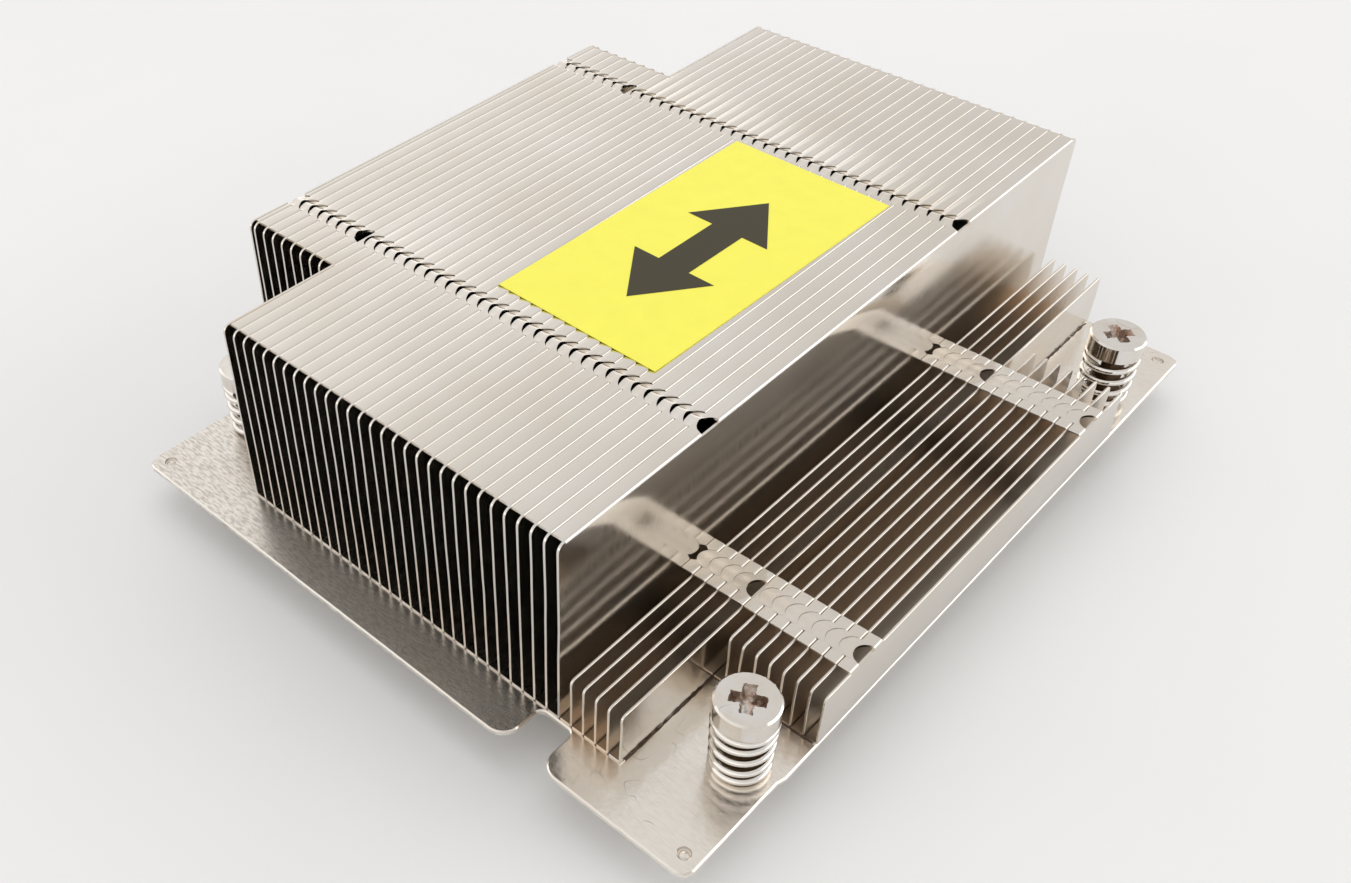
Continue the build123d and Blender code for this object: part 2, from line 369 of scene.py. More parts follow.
def draw_fin(name, sizes, ends, foot_run, top, edge, strips, reach, corner):
    """A folded sheet about X = 0: a web folded along its foot and, in its strips, along its top."""
    foot = PLATE_HIGH.z
    low = foot + sizes.bend
    high = top - sizes.bend
    front, rear = ends
    piece = flat_piece(
        name, (0, (front + rear) / 2, (low + high) / 2), (high - low, rear - front),
        (0, QUARTER_TURN, 0))
    edit(piece)
    slice_at("Z", spread(low, high, round((high - low) / WEB_ROW)))
    fixed = [y for run in strips + [foot_run] for y in run if front + TINY < y < rear - TINY]
    loose = spread(front, rear, WEB_COLUMNS)
    for run in END_RUNS:
        loose += [front + run, rear - run]
    slice_at("Y", fixed + [y for y in loose if all(abs(y - stop) > COLUMN_ROOM for stop in fixed)])
    if edge > high + TINY:
        for run in plain_stretches(ends, strips):
            pick_run(piece, high, run)
            draw_out(z=edge - high)
            pick_run(piece, high, run)
            bpy.ops.mesh.dissolve_edges(use_verts=True)
    for run in plain_stretches(ends, [foot_run]):
        pick_run(piece, low, run)
        draw_out(z=foot - low)
    pick(piece, lambda place: near(place.z, edge)
         and (near(place.y, front) or near(place.y, rear)), "VERT")
    bpy.ops.mesh.bevel(offset=corner * 0.97, segments=4, affect="VERTICES")
    for run in strips:
        pick_run(piece, high, run)
        fold_out(sizes, high, 1, reach, sizes.sag)
    pick_run(piece, low, foot_run)
    fold_out(sizes, low, -1, reach)
    clean(piece)
    apply_modifier(piece, "SOLIDIFY", thickness=sizes.sheet, offset=0, use_even_offset=True)
    soften(piece, sizes.burr)
    return piece


def round_tool(x, y, z, radius, depth):
    """A round cutter for the windows, centred on a sheet's upper face."""
    ready()
    bpy.ops.mesh.primitive_cylinder_add(vertices=36, radius=radius, depth=2 * depth, location=(x, y, z))
    return named("round_tool")


def pull(step, reach):
    """In edit mode, move what is selected, and what lies within reach ever less."""
    bpy.ops.transform.translate(
        value=step, use_proportional_edit=True, proportional_edit_falloff="SMOOTH",
        proportional_size=reach)


RIDGE_SPREAD = 0.68
DIP_SPREAD = 0.9
TONGUE_ROOT = 0.73


def draw_tongue(sizes, x, y, top, root, lock):
    """A blunt round tongue with a barrel-shaped ridge along it, which dips towards its tip."""
    tip = x - sizes.window + sizes.tip_gap * lock["gap"]
    ready()
    bpy.ops.mesh.primitive_circle_add(
        vertices=40, radius=sizes.window - sizes.tongue_play * lock["gap"], fill_type="NGON",
        location=(x, y, top - lock["sink"]))
    tongue = named("tongue")
    edit(tongue)
    cut_at("X", root, 1.0, True)
    cut_at("X", tip, -1.0, True)
    slice_at("Y", spread(y - sizes.window, y + sizes.window, 13))
    slice_at("X", spread(tip, root, 4))
    pick(tongue, lambda place: near(place.y, y), "VERT")
    pull((0, 0, lock["crown"]), sizes.window * RIDGE_SPREAD)
    pick(tongue, lambda place: place.x < tip + TINY, "VERT")
    pull((0, 0, -lock["dip"]), (root - tip) * DIP_SPREAD)
    clean(tongue)
    apply_modifier(tongue, "SOLIDIFY", thickness=sizes.sheet, offset=-1)
    return tongue


def add_locks(piece, sizes, rows, top, pitch, lock, tongues):
    """Grow the tongues that reach into the neighbour's windows, and cut the fin's own windows."""
    half = sizes.sheet / 2
    if tongues:
        root = half - TONGUE_ROOT * sizes.window
        for row in rows:
            tongue = draw_tongue(sizes, half - pitch, row, top, root, lock)
            combine(piece, tongue, "UNION")
    for row in rows:
        combine(piece, round_tool(half, row, top, sizes.window, sizes.window_depth), "DIFFERENCE")
    smooth(piece)
    return piece


DENT = 4.0 * MM
DENT_DEPTH = 0.6
WEB_SHARE = 0.93
ROOM_SHARE = 0.9
BOW_RANGE = 0.3


def bow_web(piece, sizes, dice, x, ends, top, inward=False):
    """Push a fin's web a little out of true in a few places, as thin pressed sheet is."""
    foot = PLATE_HIGH.z
    reach = (top - foot) / 2 * WEB_SHARE
    edit(piece)
    pushes = [(ends[0], 1.0, reach), (dice.uniform(*ends), 1.0, reach), (ends[1], 1.0, reach)]
    pushes += [(end, DENT_DEPTH, DENT) for end in ends + ends]
    for place_y, share, size in pushes:
        height = (foot + top) / 2 + dice.uniform(-0.75, 0.75) * reach * (
            1 if share < 1 else BOW_RANGE)
        push = dice.uniform(-1, 1) * sizes.bow * share
        web = [
            vertex.co.copy() for vertex in bmesh.from_edit_mesh(piece.data).verts
            if abs(vertex.co.x - x) < sizes.sheet]
        anchor = min(web, key=lambda place: abs(place.y - place_y) + abs(place.z - height))
        pick(piece, lambda place: abs(place.x - x) < sizes.sheet
             and near(place.y, anchor.y) and near(place.z, anchor.z), "VERT")
        room = min(top - anchor.z, anchor.z - foot) * ROOM_SHARE
        pull((-abs(push) if inward else push, 0, 0), max(min(room, size), MM))
    ready()


def stand(source, name, sizes, dice, x, ends, top, inward=False):
    """A copy of a fin at its place in its row, a little out of true."""
    piece = copy_at(source, name, (x, 0, 0))
    bow_web(piece, sizes, dice, x, ends, top, inward)
    return piece


TALL_ROWS = (-25.3 * MM, 25.3 * MM)
LOW_ROWS = (-25.6 * MM, 24.1 * MM)
TALL_LOCK = {"crown": 0.25 * MM, "dip": 0.2 * MM, "sink": 0.1 * MM, "gap": 1.0}
LOW_LOCK = {"crown": 0.03 * MM, "dip": 0.1 * MM, "sink": 0.02 * MM, "gap": 0.25}
TALL_TOP = END_HIGH.z
MAIN_ENDS = (MAIN_LOW.y, MAIN_HIGH.y)
SHORT_ENDS = (SHORT_LOW.y, SHORT_HIGH.y)


def tall_fin(name, sizes, ends, foot_run, reach, tongues):
    """A tall fin about X = 0, with its locks."""
    strip = (foot_run[0] + sizes.setback, foot_run[1] - sizes.setback)
    piece = draw_fin(
        name, sizes, ends, foot_run, TALL_TOP, TALL_TOP, [strip], reach, sizes.tall_corner)
    return add_locks(piece, sizes, TALL_ROWS, TALL_TOP, sizes.tall_pitch, TALL_LOCK, tongues)


def low_fin(name, sizes, ends, tongues):
    """A low fin about X = 0, folded along its top in the two lock strips only."""
    strips = [(row - sizes.strip / 2, row + sizes.strip / 2) for row in LOW_ROWS]
    piece = draw_fin(
        name, sizes, ends, ends, LOW_TOP, LOW_TOP - sizes.edge_drop, strips,
        sizes.low_pitch - sizes.seam, sizes.low_corner)
    return add_locks(piece, sizes, LOW_ROWS, LOW_TOP, sizes.low_pitch, LOW_LOCK, tongues)


class HEATSINK_OT_main_fins(bpy.types.Operator):
    """Build the main pack of tall fins, two to a piece"""

    bl_idname = "heatsink.main_fins"
    bl_label = "Main fins"

    def execute(self, context):
        sizes = context.scene.heatsink_fins
        material = metal("nickel_sheet", context.scene.heatsink_finish)
        reach = sizes.tall_pitch - sizes.seam
        fin = tall_fin("main_fin", sizes, MAIN_ENDS, MAIN_ENDS, reach, True)
        last = tall_fin("last_main_fin", sizes, MAIN_ENDS, SHORT_ENDS, reach, False)
        dice = random.Random(11)
        for start in range(0, MAIN_FIN_COUNT, FINS_IN_NODE):
            group = []
            for number in range(start, start + FINS_IN_NODE):
                source = last if number == MAIN_FIN_COUNT - 1 else fin
                x = FIRST_TALL_X - number * sizes.tall_pitch
                group.append(stand(
                    source, f"main_fin_{number + 1}", sizes, dice, x, MAIN_ENDS, TALL_TOP))
            pair = start // FINS_IN_NODE + 1
            piece = join(group, f"main_fin_pair_{pair:02d}")
            finish_fin(piece, material, f"main_fins_{pair:02d}")
        remove(fin, last)
        return {"FINISHED"}


class HEATSINK_OT_left_fins(bpy.types.Operator):
    """Build the short pack of tall fins on the left and the sheet that closes it"""

    bl_idname = "heatsink.left_fins"
    bl_label = "Left fins"

    def execute(self, context):
        sizes = context.scene.heatsink_fins
        material = metal("nickel_sheet", context.scene.heatsink_finish)
        reach = sizes.tall_pitch - sizes.seam
        fin = tall_fin("left_fin", sizes, SHORT_ENDS, SHORT_ENDS, reach, True)
        last = tall_fin(
            "last_left_fin", sizes, SHORT_ENDS, SHORT_ENDS, sizes.tall_pitch / 2 - sizes.seam, False)
        dice = random.Random(12)
        for number in range(LEFT_FIN_COUNT):
            source = last if number == LEFT_FIN_COUNT - 1 else fin
            x = FIRST_TALL_X - (MAIN_FIN_COUNT + number) * sizes.tall_pitch
            piece = stand(
                source, f"short_tall_fin_{number + 1}", sizes, dice, x, SHORT_ENDS, TALL_TOP)
            finish_fin(piece, material, f"left_fin_{number + 1}")
        remove(fin, last)
        self.end_sheet(sizes, material)
        return {"FINISHED"}

    def end_sheet(self, sizes, material):
        """The flat sheet, with rounded upper corners and slots for the last tongues."""
        piece = flat_piece(
            "closing_sheet", (END_SHEET_X, 0, (END_LOW.z + END_HIGH.z) / 2),
            (END_HIGH.z - END_LOW.z, END_HIGH.y - END_LOW.y), (0, QUARTER_TURN, 0))
        edit(piece)
        pick(piece, lambda place: near(place.z, END_HIGH.z), "VERT")
        bpy.ops.mesh.bevel(offset=sizes.tall_corner, segments=4, affect="VERTICES")
        apply_modifier(piece, "SOLIDIFY", thickness=sizes.sheet, offset=0)
        soften(piece, sizes.burr)
        for row in TALL_ROWS:
            tool = box_piece(
                "slot_tool", (END_LOW.x, row, END_HIGH.z),
                (2 * MM, 2 * sizes.window, 2 * sizes.window_depth))
            combine(piece, tool, "DIFFERENCE")
        smooth(piece)
        finish_fin(piece, material, "left_end_sheet")


class HEATSINK_OT_low_fins(bpy.types.Operator):
    """Build the long and the short low fins"""

    bl_idname = "heatsink.low_fins"
    bl_label = "Low fins"

    def execute(self, context):
        sizes = context.scene.heatsink_fins
        finish = context.scene.heatsink_finish
        fins = {
            "first_long": low_fin("first_long_low_fin", sizes, MAIN_ENDS, False),
            "long": low_fin("long_low_fin", sizes, MAIN_ENDS, True),
            "first_short": low_fin("first_short_low_fin", sizes, SHORT_ENDS, False),
            "short": low_fin("short_low_fin", sizes, SHORT_ENDS, True)}
        recess = sizes.sheet / 2 - sizes.low_pitch + sizes.seam + MM - sizes.window
        for row in LOW_ROWS:
            tool = round_tool(recess, row, LOW_TOP, sizes.window, sizes.window_depth)
            combine(fins["first_long"], tool, "DIFFERENCE")
        dice = random.Random(13)
        for number in range(LONG_LOW_COUNT + SHORT_LOW_COUNT):
            long = number < LONG_LOW_COUNT
            count = number + 1 if long else number + 1 - LONG_LOW_COUNT
            kind = "long" if long else "short"
            source = fins["first_" + kind if count == 1 else kind]
            x = FIRST_TALL_X + (number + 1) * sizes.low_pitch
            ends = MAIN_ENDS if long else SHORT_ENDS
            outermost = number == LONG_LOW_COUNT + SHORT_LOW_COUNT - 1
            # Fins with a free outer face keep the clean sheet; the others get the painted brown
            # reflection between the fins.
            bright = outermost or number == LONG_LOW_COUNT - 1
            piece = stand(
                source, f"{kind}_low_fin_{count}", sizes, dice, x, ends, LOW_TOP, outermost)
            material = metal("nickel_sheet" if bright else "browned_sheet", finish)
            finish_fin(piece, material, f"low_{kind}_fin_{count}")
        remove(*fins.values())
        return {"FINISHED"}


def add(tree, kind, sockets=None, **fields):
    """Add one shader node, set its fields, and set or link its input sockets."""
    node = tree.nodes.new(kind)
    for name, value in fields.items():
        setattr(node, name, value)
    for name, value in (sockets or {}).items():
        if isinstance(value, bpy.types.NodeSocket):
            tree.links.new(value, node.inputs[name])
        else:
            node.inputs[name].default_value = value
    return node


def ranged(tree, value, source, target):
    """A value mapped from one range to another, and held at the ends."""
    return add(tree, "ShaderNodeMapRange", {
        "Value": value, "From Min": source[0], "From Max": source[1],
        "To Min": target[0], "To Max": target[1]}).outputs["Result"]


def worked_out(tree, operation, *values):
    """The result of one sum, product or other operation on values."""
    return add(
        tree, "ShaderNodeMath", dict(enumerate(values)), operation=operation).outputs[0]


def mixed(tree, share, first, second):
    """Two colours mixed by a share."""
    return add(
        tree, "ShaderNodeMix", {"Factor": share, "A": first, "B": second},
        data_type="RGBA").outputs["Result"]


def new_group(name, inputs, outputs):
    """A shader node group with named sockets, and its input and output nodes."""
    group = bpy.data.node_groups.new(name, "ShaderNodeTree")
    for label, kind, default in inputs:
        socket = group.interface.new_socket(label, in_out="INPUT", socket_type=kind)
        if default is not None:
            socket.default_value = default
    for label, kind in outputs:
        group.interface.new_socket(label, in_out="OUTPUT", socket_type=kind)
    return group, group.nodes.new("NodeGroupInput").outputs, group.nodes.new("NodeGroupOutput").inputs


def grain_group():
    """Rolled or brushed grain: fine lines along one direction, and broader streaks among them."""
    found = bpy.data.node_groups.get("metal_grain")
    if found:
        return found
    group, given, result = new_group(
        "metal_grain",
        [("Place", "NodeSocketVector", None), ("Stretch", "NodeSocketVector", (1, 1, 1))],
        [("Height", "NodeSocketFloat"), ("Streaks", "NodeSocketFloat")])
    stretched = add(
        group, "ShaderNodeVectorMath", {0: given["Place"], 1: given["Stretch"]},
        operation="MULTIPLY").outputs[0]
    for scale, name in ((1.0, "Height"), (0.7, "Streaks")):
        lines = add(group, "ShaderNodeTexNoise", {
            "Vector": stretched, "Scale": scale, "Detail": 3.0, "Roughness": 0.6})
        group.links.new(lines.outputs["Fac"], result[name])
    return group


def tarnish_group():
    """Soft clouds of tarnish between two colours."""
    found = bpy.data.node_groups.get("tarnish")
    if found:
        return found
    group, given, result = new_group(
        "tarnish",
        [("Place", "NodeSocketVector", None), ("Scale", "NodeSocketFloat", 60.0),
         ("Clean", "NodeSocketColor", (1, 1, 1, 1)), ("Stained", "NodeSocketColor", (1, 1, 1, 1))],
        [("Color", "NodeSocketColor"), ("Mask", "NodeSocketFloat")])
    cloud = add(group, "ShaderNodeTexNoise", {
        "Vector": given["Place"], "Scale": given["Scale"], "Detail": 4.0, "Roughness": 0.6})
    mask = ranged(group, cloud.outputs["Fac"], (0.35, 0.7), (0.0, 1.0))
    group.links.new(mixed(group, mask, given["Clean"], given["Stained"]), result["Color"])
    group.links.new(mask, result["Mask"])
    return group


def scratch_group():
    """Thin creases and scratches: broken contour lines of a slow noise."""
    found = bpy.data.node_groups.get("scratches")
    if found:
        return found
    group, given, result = new_group(
        "scratches",
        [("Place", "NodeSocketVector", None), ("Scale", "NodeSocketFloat", 170.0),
         ("Width", "NodeSocketFloat", 0.009)],
        [("Mask", "NodeSocketFloat")])
    slow = add(group, "ShaderNodeTexNoise", {
        "Vector": given["Place"], "Scale": given["Scale"], "Detail": 1.5, "Distortion": 0.6})
    away = worked_out(
        group, "ABSOLUTE", worked_out(group, "SUBTRACT", slow.outputs["Fac"], 0.5))
    line = ranged(group, away, (0.0, given["Width"]), (1.0, 0.0))
    gaps = add(group, "ShaderNodeTexNoise", {
        "Vector": given["Place"], "Scale": given["Scale"], "Detail": 3.0, "Roughness": 0.7})
    broken = ranged(group, gaps.outputs["Fac"], (0.5, 0.62), (0.0, 1.0))
    group.links.new(worked_out(group, "MULTIPLY", line, broken), result["Mask"])
    return group


# Each metal: its clean and stained colours, how far its grain is stretched, how fine its clouds
# are, its least and greatest roughness, the relief of its grain, and its dark streaks and
# scratches. A grain and reflection fade is the stretch along X over which brushed plate, whose
# dark streaks are partly grain and partly a painted reflection of the tall fins' dark front, gives
# way to bare plate, and feet the heights between which a painted brown reflection between the low
# fins grows deeper towards their feet.
METALS = {
    "nickel_sheet": {
        "tones": ("nickel", "tarnish"), "stretch": (5000, 5000, 700), "clouds": 45.0,
        "rough": (0.11, 0.19), "relief": 0.12},
    "browned_sheet": {
        # Painted brown reflection between the low fins, deeper towards their feet.
        "tones": ("nickel", "tarnish"), "stretch": (5000, 5000, 700), "clouds": 45.0,
        "rough": (0.27, 0.33), "relief": 0.03, "feet": (6 * MM, 11.6 * MM)},
    # Its darker streaks towards -X are partly brushed grain and partly a painted reflection of the tall
    # fins' dark front.
    "nickel_plate": {
        "tones": ("bare", "cloud"), "stretch": (1200, 5200, 5200), "clouds": 130.0,
        "rough": (0.26, 0.37), "relief": 0.1, "streaks": 0.6, "wear": 0.4,
        "grain_and_reflection_fade": (12 * MM, 24 * MM)},
    "ground_block": {
        "tones": ("nickel", "tarnish"), "stretch": (4200, 150, 4200), "clouds": 40.0,
        "rough": (0.2, 0.34), "relief": 0.5, "streaks": 0.2},
    "plated_steel": {
        "tones": ("steel", "tarnish"), "stretch": (2600, 2600, 2600), "clouds": 300.0,
        "rough": (0.09, 0.16), "relief": 0.12, "wear": 0.3},
    "spring_wire": {
        "tones": ("steel", "nickel"), "stretch": (1500, 1500, 1500), "clouds": 200.0,
        "rough": (0.06, 0.1), "relief": 0.05},
    "worn_steel": {
        "tones": ("worn", "steel"), "stretch": (3500, 3500, 3500), "clouds": 900.0,
        "rough": (0.2, 0.4), "relief": 0.8, "streaks": 0.7},
    # The dark flux colour painted on the shank inside the spring, as shade between the coils.
    "oiled_steel": {
        "tones": ("flux", "flux"), "stretch": (2600, 2600, 2600), "clouds": 500.0,
        "rough": (0.3, 0.4), "relief": 0.3},
}
STREAK_SHADE = 0.45
GRAIN_DEPTH = 0.01 * MM
LUMP_DEPTH = 0.05 * MM


def surface(name, clean, stained, clouds, stretch):
    """A new material with clouds of two colours and a grain, before they reach its shader."""
    material = bpy.data.materials.new(name)
    material.use_nodes = True
    tree = material.node_tree
    place = add(tree, "ShaderNodeTexCoord").outputs["Object"]
    grain = add(tree, "ShaderNodeGroup", {"Stretch": stretch}, node_tree=grain_group())
    stain = add(tree, "ShaderNodeGroup", {
        "Scale": clouds, "Clean": (*clean, 1), "Stained": (*stained, 1)}, node_tree=tarnish_group())
    for group in (grain, stain):
        tree.links.new(place, group.inputs["Place"])
    return material, tree, place, grain.outputs, stain.outputs


def metal(name, finish):
    """A plated metal with grain along one direction, clouds of tarnish and a few scratches."""
    if name in bpy.data.materials:
        return bpy.data.materials[name]
    look = METALS[name]
    clean, stained = (getattr(finish, tone) for tone in look["tones"])
    material, tree, place, grain, stain = surface(
        name, clean, stained, look["clouds"], look["stretch"])
    height = grain["Height"]
    streaks = ranged(tree, grain["Streaks"], (0.42, 0.62), (0.0, look.get("streaks", 0.0)))
    roughness = ranged(tree, grain["Streaks"], (0.3, 0.7), look["rough"])
    axes = add(tree, "ShaderNodeSeparateXYZ", {"Vector": place}).outputs
    # Towards -X the streaks darken the plate more: partly its brushed grain, partly a painted reflection
    # of the tall fins' dark front.
    if "grain_and_reflection_fade" in look:
        share = ranged(tree, axes["X"], look["grain_and_reflection_fade"], (1.0, 0.12))
        height = worked_out(tree, "MULTIPLY", height, share)
        streaks = worked_out(tree, "MULTIPLY", streaks, share)
        smoother = ranged(tree, axes["X"], look["grain_and_reflection_fade"], (0.0, -0.1))
        roughness = worked_out(tree, "ADD", roughness, smoother)
    dark = (*[STREAK_SHADE * part for part in stained], 1)
    tone = mixed(tree, streaks, stain["Color"], dark)
    if "wear" in look:
        scratches = add(
            tree, "ShaderNodeGroup", {"Place": place}, node_tree=scratch_group()).outputs["Mask"]
        share = worked_out(tree, "MULTIPLY", scratches, look["wear"])
        tone = mixed(tree, share, tone, (*finish.flux, 1))
    # Painted brown reflection between the low fins: strongest low down, gone towards their tops.
    if "feet" in look:
        heat = ranged(tree, axes["Z"], look["feet"], (0.9, 0.0))
        tone = mixed(tree, heat, tone, (*finish.painted_gap_brown, 1))
    relief = add(tree, "ShaderNodeBump", {
        "Strength": look["relief"], "Distance": GRAIN_DEPTH, "Height": height})
    if "grain_and_reflection_fade" in look:
        lumps = add(tree, "ShaderNodeBump", {
            "Strength": ranged(tree, axes["X"], look["grain_and_reflection_fade"], (0.0, 0.8)),
            "Distance": LUMP_DEPTH, "Height": stain["Mask"]})
        tree.links.new(lumps.outputs["Normal"], relief.inputs["Normal"])
    wire_up(tree, {"Base Color": tone, "Roughness": roughness, "Normal": relief.outputs["Normal"]})
    tree.nodes["Principled BSDF"].inputs["Metallic"].default_value = 1.0
    return material


def film(name, tone, rough, fineness, bump):
    """A matte film, print or paint with a faint tooth."""
    if name in bpy.data.materials:
        return bpy.data.materials[name]
    material, tree, place, grain, stain = surface(
        name, tone, [0.96 * part for part in tone], fineness / 10, (fineness,) * 3)
    relief = add(tree, "ShaderNodeBump", {
        "Strength": bump, "Distance": GRAIN_DEPTH, "Height": grain["Height"]})
    wire_up(tree, {"Base Color": stain["Color"], "Normal": relief.outputs["Normal"]})
    tree.nodes["Principled BSDF"].inputs["Roughness"].default_value = rough
    return material


def wire_up(tree, sockets):
    """Link outputs to the inputs of a material's shader."""
    for name, output in sockets.items():
        tree.links.new(output, tree.nodes["Principled BSDF"].inputs[name])


EDGE_PLAY = 0.05 * MM
BROKEN_EDGE = 0.17 * MM
HOLE_RADIUS = 2.3 * MM
HALF_SPACING = 40 * MM
DIMPLE_INSET = 2.3 * MM
NOTCH_HALF_WIDTH = 2.4 * MM
NOTCH_DEPTH = 5.75 * MM
STEP_DEPTH = 0.36 * MM
STEP_LENGTH = 16.3 * MM
STEP_SLANT = 1.2 * MM
SHEARED_LENGTH = 9 * MM
SHEAR_CUTS = 13


class HEATSINK_OT_base_plate(bpy.types.Operator):
    """Build the base plate with its notch, screw holes and dimples, and the block under it"""

    bl_idname = "heatsink.base_plate"
    bl_label = "Base plate"

    def execute(self, context):
        finish = context.scene.heatsink_finish
        piece = self.outline()
        for x in (-HALF_SPACING, HALF_SPACING):
            for y in (-HALF_SPACING, HALF_SPACING):
                tool = round_tool(x, y, PLATE_HIGH.z, HOLE_RADIUS, 2 * MM)
                combine(piece, tool, "DIFFERENCE")
        soften(piece, BROKEN_EDGE, 1, 50, False)
        self.dimples(piece)
        smooth(piece)
        finish_piece(
            piece, metal("nickel_plate", finish), "heatsink", "nickel_plated_plate", "base_plate")
        piece.data.materials.append(metal("nickel_sheet", finish))
        edit(piece)
        choose(piece, "FACE", lambda face: 0.2 < abs(face.normal.z) < 0.97)
        paint_picked(piece, 1)
        ready()
        self.block(finish)
        self.seam(finish)
        return {"FINISHED"}

    def seam(self, finish):
        """Thin ragged beads of burnt flux where the plate's right side meets the low fins' feet."""
        width = 0.17 * MM
        height = 0.08 * MM
        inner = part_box(f"low_long_fin_{LONG_LOW_COUNT}")[1].x + width * 0.3
        outer = PLATE_HIGH.x - 0.6 * MM
        beads = []
        for side, long_end in ((-1, MAIN_LOW.y + 0.8 * MM), (1, MAIN_HIGH.y - 0.8 * MM)):
            bend = side * (SHORT_HIGH.y + width * 0.3)
            beads.append(self.bead((inner, long_end), (inner, bend), width, height, 3 + side))
            beads.append(self.bead((inner, bend), (outer, bend), width, height, 7 + side))
        piece = join(beads, "flux_seam")
        piece.data.materials.append(film("burnt_flux", finish.flux, 0.35, 3000, 0.6))
        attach(piece, "heatsink")

    def bead(self, start, end, width, height, seed):
        """One ragged bead between two places on the plate."""
        run = (end[0] - start[0], end[1] - start[1])
        piece = box_piece(
            "bead", ((start[0] + end[0]) / 2, (start[1] + end[1]) / 2, PLATE_HIGH.z),
            (abs(run[0]) + width, abs(run[1]) + width, 2 * height))
        edit(piece)
        along = 0 if abs(run[0]) > abs(run[1]) else 1
        stops = spread(start[along], end[along], round(abs(run[along]) / (0.5 * MM)))
        slice_at("XY"[along], stops)
        select_whole()
        bpy.ops.transform.vertex_random(offset=0.07 * MM, uniform=1.0, normal=0.0, seed=seed)
        ready()
        return piece

    def outline(self):
        """The plate's outline with its rounded notch, drawn flat and given its thickness."""
        notch_left, notch_right = FIRST_TALL_X - NOTCH_HALF_WIDTH, FIRST_TALL_X + NOTCH_HALF_WIDTH
        notch_end = PLATE_LOW.y + NOTCH_DEPTH
        step_x = PLATE_HIGH.x - STEP_DEPTH
        step_end = PLATE_LOW.y + STEP_LENGTH
        left, right = PLATE_LOW.x + EDGE_PLAY, PLATE_HIGH.x - EDGE_PLAY
        near_end, far_end = PLATE_LOW.y + EDGE_PLAY, PLATE_HIGH.y - EDGE_PLAY
        piece = flat_piece("plated_base", (0, 0, PLATE_HIGH.z), (
            PLATE_HIGH.x - PLATE_LOW.x - 2 * EDGE_PLAY, PLATE_HIGH.y - PLATE_LOW.y - 2 * EDGE_PLAY))
        edit(piece)
        slice_at("X", (notch_left, notch_right, step_x))
        slice_at("Y", (notch_end, step_end))
        for wanted in (
                lambda place: abs(place.x - FIRST_TALL_X) < NOTCH_HALF_WIDTH + TINY
                and place.y < notch_end + TINY,
                lambda place: place.x > step_x - TINY and place.y < step_end + TINY):
            pick(piece, wanted, "FACE")
            bpy.ops.mesh.delete(type="FACE")
        select_whole()
        bpy.ops.mesh.dissolve_limited(angle_limit=math.radians(1))
        pick(piece, lambda place: near(place.x, step_x) and near(place.y, step_end), "VERT")
        bpy.ops.transform.translate(value=(0, -STEP_SLANT, 0))
        for places, radius, segments in (
                ([(notch_left, notch_end), (notch_right, notch_end)], 0.9 * MM, 5),
                ([(notch_left, near_end), (notch_right, near_end)], 2.4 * MM, 8),
                ([(left, near_end), (step_x, near_end), (left, far_end), (right, far_end)],
                 1.4 * MM, 2)):
            pick(piece, lambda place: any(
                near(place.x, x) and near(place.y, y) for x, y in places), "VERT")
            bpy.ops.mesh.bevel(offset=radius, segments=segments, affect="VERTICES")
        self.shear_marks(piece)
        select_whole()
        draw_out(z=PLATE_LOW.z - PLATE_HIGH.z)
        select_whole()
        bpy.ops.mesh.normals_make_consistent(inside=False)
        ready()
        return piece

    def shear_marks(self, piece):
        """Divide the long edges and push their new corners a little off the line, as shears do."""
        old = {tuple(vertex.co) for vertex in bmesh.from_edit_mesh(piece.data).verts}
        choose(piece, "EDGE", lambda side: side.calc_length() > SHEARED_LENGTH)
        bpy.ops.mesh.subdivide(number_cuts=SHEAR_CUTS)
        pick(piece, lambda place: tuple(place) not in old, "VERT")
        bpy.ops.transform.vertex_random(offset=EDGE_PLAY, uniform=0.0, normal=0.0, seed=5)
        bpy.ops.transform.resize(value=(1, 1, 0), center_override=(0, 0, PLATE_HIGH.z))

    def dimples(self, piece):
        """The four punched dimples in the corners: a ring pressed around a low button."""
        top = PLATE_HIGH.z
        profile = [(radius * MM, top + height * MM) for radius, height in (
            (0.08, -0.12), (0.36, -0.16), (0.58, -0.34), (0.7, -0.3), (0.8, -0.02), (0.86, 0.3))]
        for x in (PLATE_LOW.x + DIMPLE_INSET, PLATE_HIGH.x - DIMPLE_INSET):
            for y in (PLATE_LOW.y + DIMPLE_INSET, PLATE_HIGH.y - DIMPLE_INSET):
                tool = turned("dimple_tool", profile, 28)
                tool.data.transform(Matrix.Translation((x, y, 0)))
                combine(piece, tool, "DIFFERENCE")

    def block(self, finish):
        """The contact block, with rounded corners and broken edges."""
        piece = box_piece("cold_block", (BLOCK_LOW + BLOCK_HIGH) / 2, BLOCK_HIGH - BLOCK_LOW)
        edit(piece)
        choose(piece, "EDGE", lambda edge: near(
            (edge.verts[0].co - edge.verts[1].co).xy.length, 0))
        bpy.ops.mesh.bevel(offset=3 * MM, segments=8, affect="EDGES")
        ready()
        soften(piece, 0.2 * MM, 2, 50)
        smooth(piece)
        finish_piece(
            piece, metal("ground_block", finish), "heatsink", "nickel_plated_block",
            "contact_block")


def paint_picked(piece, slot):
    """In edit mode, give the selected faces one of the piece's own materials."""
    piece.active_material_index = slot
    bpy.ops.object.material_slot_assign()


def turn_into_place(piece, x, y, turn):
    """Turn a piece that was drawn on the Z axis and move it to its screw's axis."""
    piece.data.transform(
        Matrix.Translation((x, y, 0)) @ Matrix.Rotation(math.radians(turn), 4, "Z"))


def screw_places():
    """Each screw's number and axis."""
    places = []
    for number in range(1, SCREW_COUNT + 1):
        low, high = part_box(f"screw_{number}")
        places.append((number, (low.x + high.x) / 2, (low.y + high.y) / 2))
    return places


